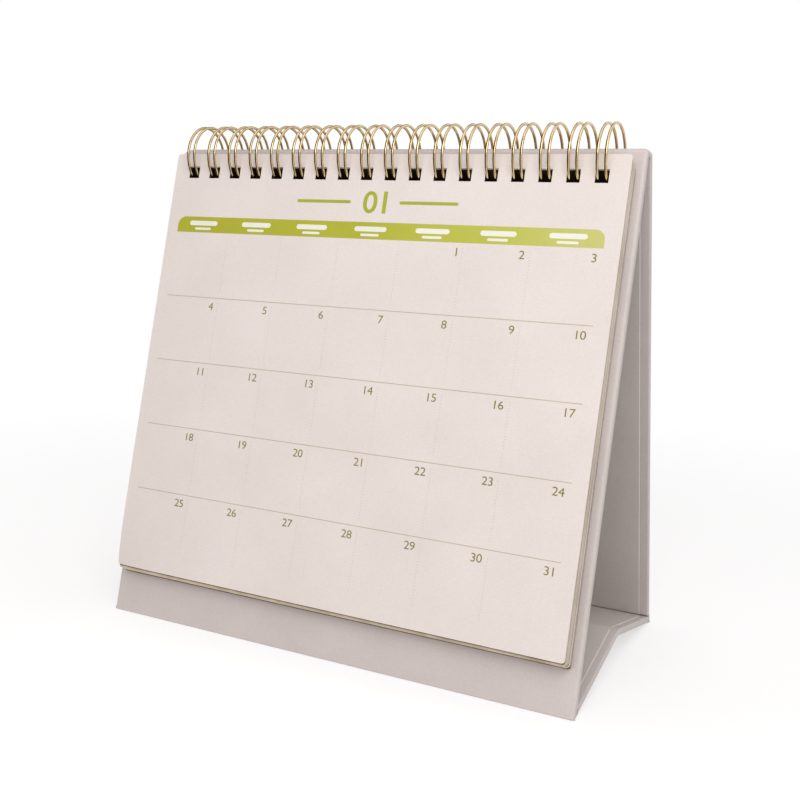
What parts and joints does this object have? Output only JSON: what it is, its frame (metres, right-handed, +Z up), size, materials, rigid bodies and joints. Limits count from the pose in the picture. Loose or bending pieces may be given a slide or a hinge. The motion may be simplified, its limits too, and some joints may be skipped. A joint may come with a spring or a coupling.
{
  "type": "desk calendar",
  "caption": "Desk calendar: a triangular easel stand of covered board with a pad of leaves turning on twin wire loops along its ridge.",
  "frame": {"origin": "on the surface that the stand rests on, below the middle of the bounding box", "axes": "+X to the right along the ridge, seen from the leaf on show; +Y from the leaves towards the back panel; +Z up"},
  "size_m": [0.1652, 0.087, 0.1656],
  "materials": {
    "greyboard": "matte grey board",
    "wrap_paper": "smooth matte pale grey covering paper",
    "lining_paper": "matte pale grey paper",
    "binding_wire": "glossy champagne gold coating",
    "leaf_card": "smooth uncoated card",
    "leaf_edges": "cut edges of stacked card leaves",
    "band_ink": "yellow green print",
    "number_ink": "olive gold print"
  },
  "bodies": {
    "stand": {"front_board": "greyboard", "back_board": "greyboard", "base_front_board": "greyboard", "base_rear_board": "greyboard", "cover_wrap": "wrap_paper", "front_lining": "lining_paper", "back_lining": "lining_paper", "base_lining": "lining_paper", "binding_wire": "binding_wire"},
    "leaf_block": {"leaf_block": "leaf_edges", "back_leaf": "leaf_card"},
    "front_leaf": {"front_leaf": "leaf_card"}
  },
  "joints": [
    {"name": "leaf_block_turn", "type": "hinge", "parent": "stand", "child": "leaf_block", "pos_m": [0, -0.00171, 0.15505], "axis": [-1, 0, 0], "range_deg": [0, 25]},
    {"name": "front_leaf_turn", "type": "hinge", "parent": "leaf_block", "child": "front_leaf", "pos_m": [0, -0.00171, 0.15505], "axis": [-1, 0, 0], "range_deg": [0, 150]}
  ]
}
